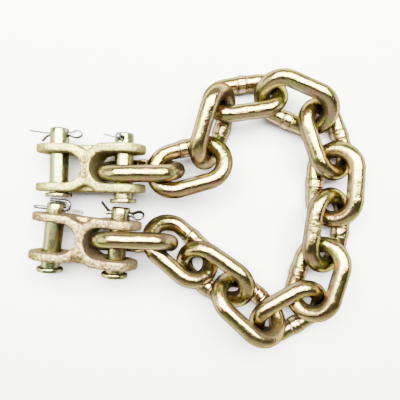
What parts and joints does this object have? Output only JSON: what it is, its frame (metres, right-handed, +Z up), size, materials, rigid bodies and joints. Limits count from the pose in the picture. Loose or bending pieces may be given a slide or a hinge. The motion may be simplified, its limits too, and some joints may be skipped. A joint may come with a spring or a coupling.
{
  "type": "short chain with double clevises",
  "caption": "Short length of welded round-wire chain lying in a loop, with a forged double clevis pinned to each end.",
  "frame": {"origin": "centre of the bounding box, at floor level", "axes": "+Z up from the floor; +X from the clevises towards the far end of the chain loop; +Y towards the upper clevis"},
  "size_m": [0.1926, 0.1604, 0.0335],
  "materials": {
    "chromated_link": "glossy yellow chromate",
    "pale_forging": "satin yellow chromate",
    "rosy_forging": "satin yellow chromate, rosy tint",
    "chromated_pin": "glossy yellow chromate",
    "bright_zinc": "bright zinc"
  },
  "bodies": {
    "chain": {"chain_link_01": "chromated_link", "chain_link_02": "chromated_link", "chain_link_03": "chromated_link", "chain_link_04": "chromated_link", "chain_link_05": "chromated_link", "chain_link_06": "chromated_link", "chain_link_07": "chromated_link", "chain_link_08": "chromated_link", "chain_link_09": "chromated_link", "chain_link_10": "chromated_link", "chain_link_11": "chromated_link", "chain_link_12": "chromated_link", "chain_link_13": "chromated_link", "chain_link_14": "chromated_link"},
    "upper_end": {"upper_clevis": "pale_forging", "upper_inner_pin": "chromated_pin", "upper_outer_pin": "chromated_pin", "upper_inner_split_pin": "bright_zinc", "upper_outer_split_pin": "bright_zinc"},
    "lower_end": {"lower_clevis": "rosy_forging", "lower_inner_pin": "chromated_pin", "lower_outer_pin": "chromated_pin", "lower_inner_split_pin": "bright_zinc", "lower_outer_split_pin": "bright_zinc"}
  },
  "joints": [
    {"name": "upper_clevis_swing", "type": "hinge", "parent": "chain", "child": "upper_end", "pos_m": [-0.04023, 0.02275, 0.01645], "axis": [0.0174, 0.9998, 0], "range_deg": [0, 40]},
    {"name": "lower_clevis_swing", "type": "hinge", "parent": "chain", "child": "lower_end", "pos_m": [-0.04383, -0.01975, 0.01645], "axis": [0.1045, 0.9945, 0], "range_deg": [0, 45]}
  ]
}
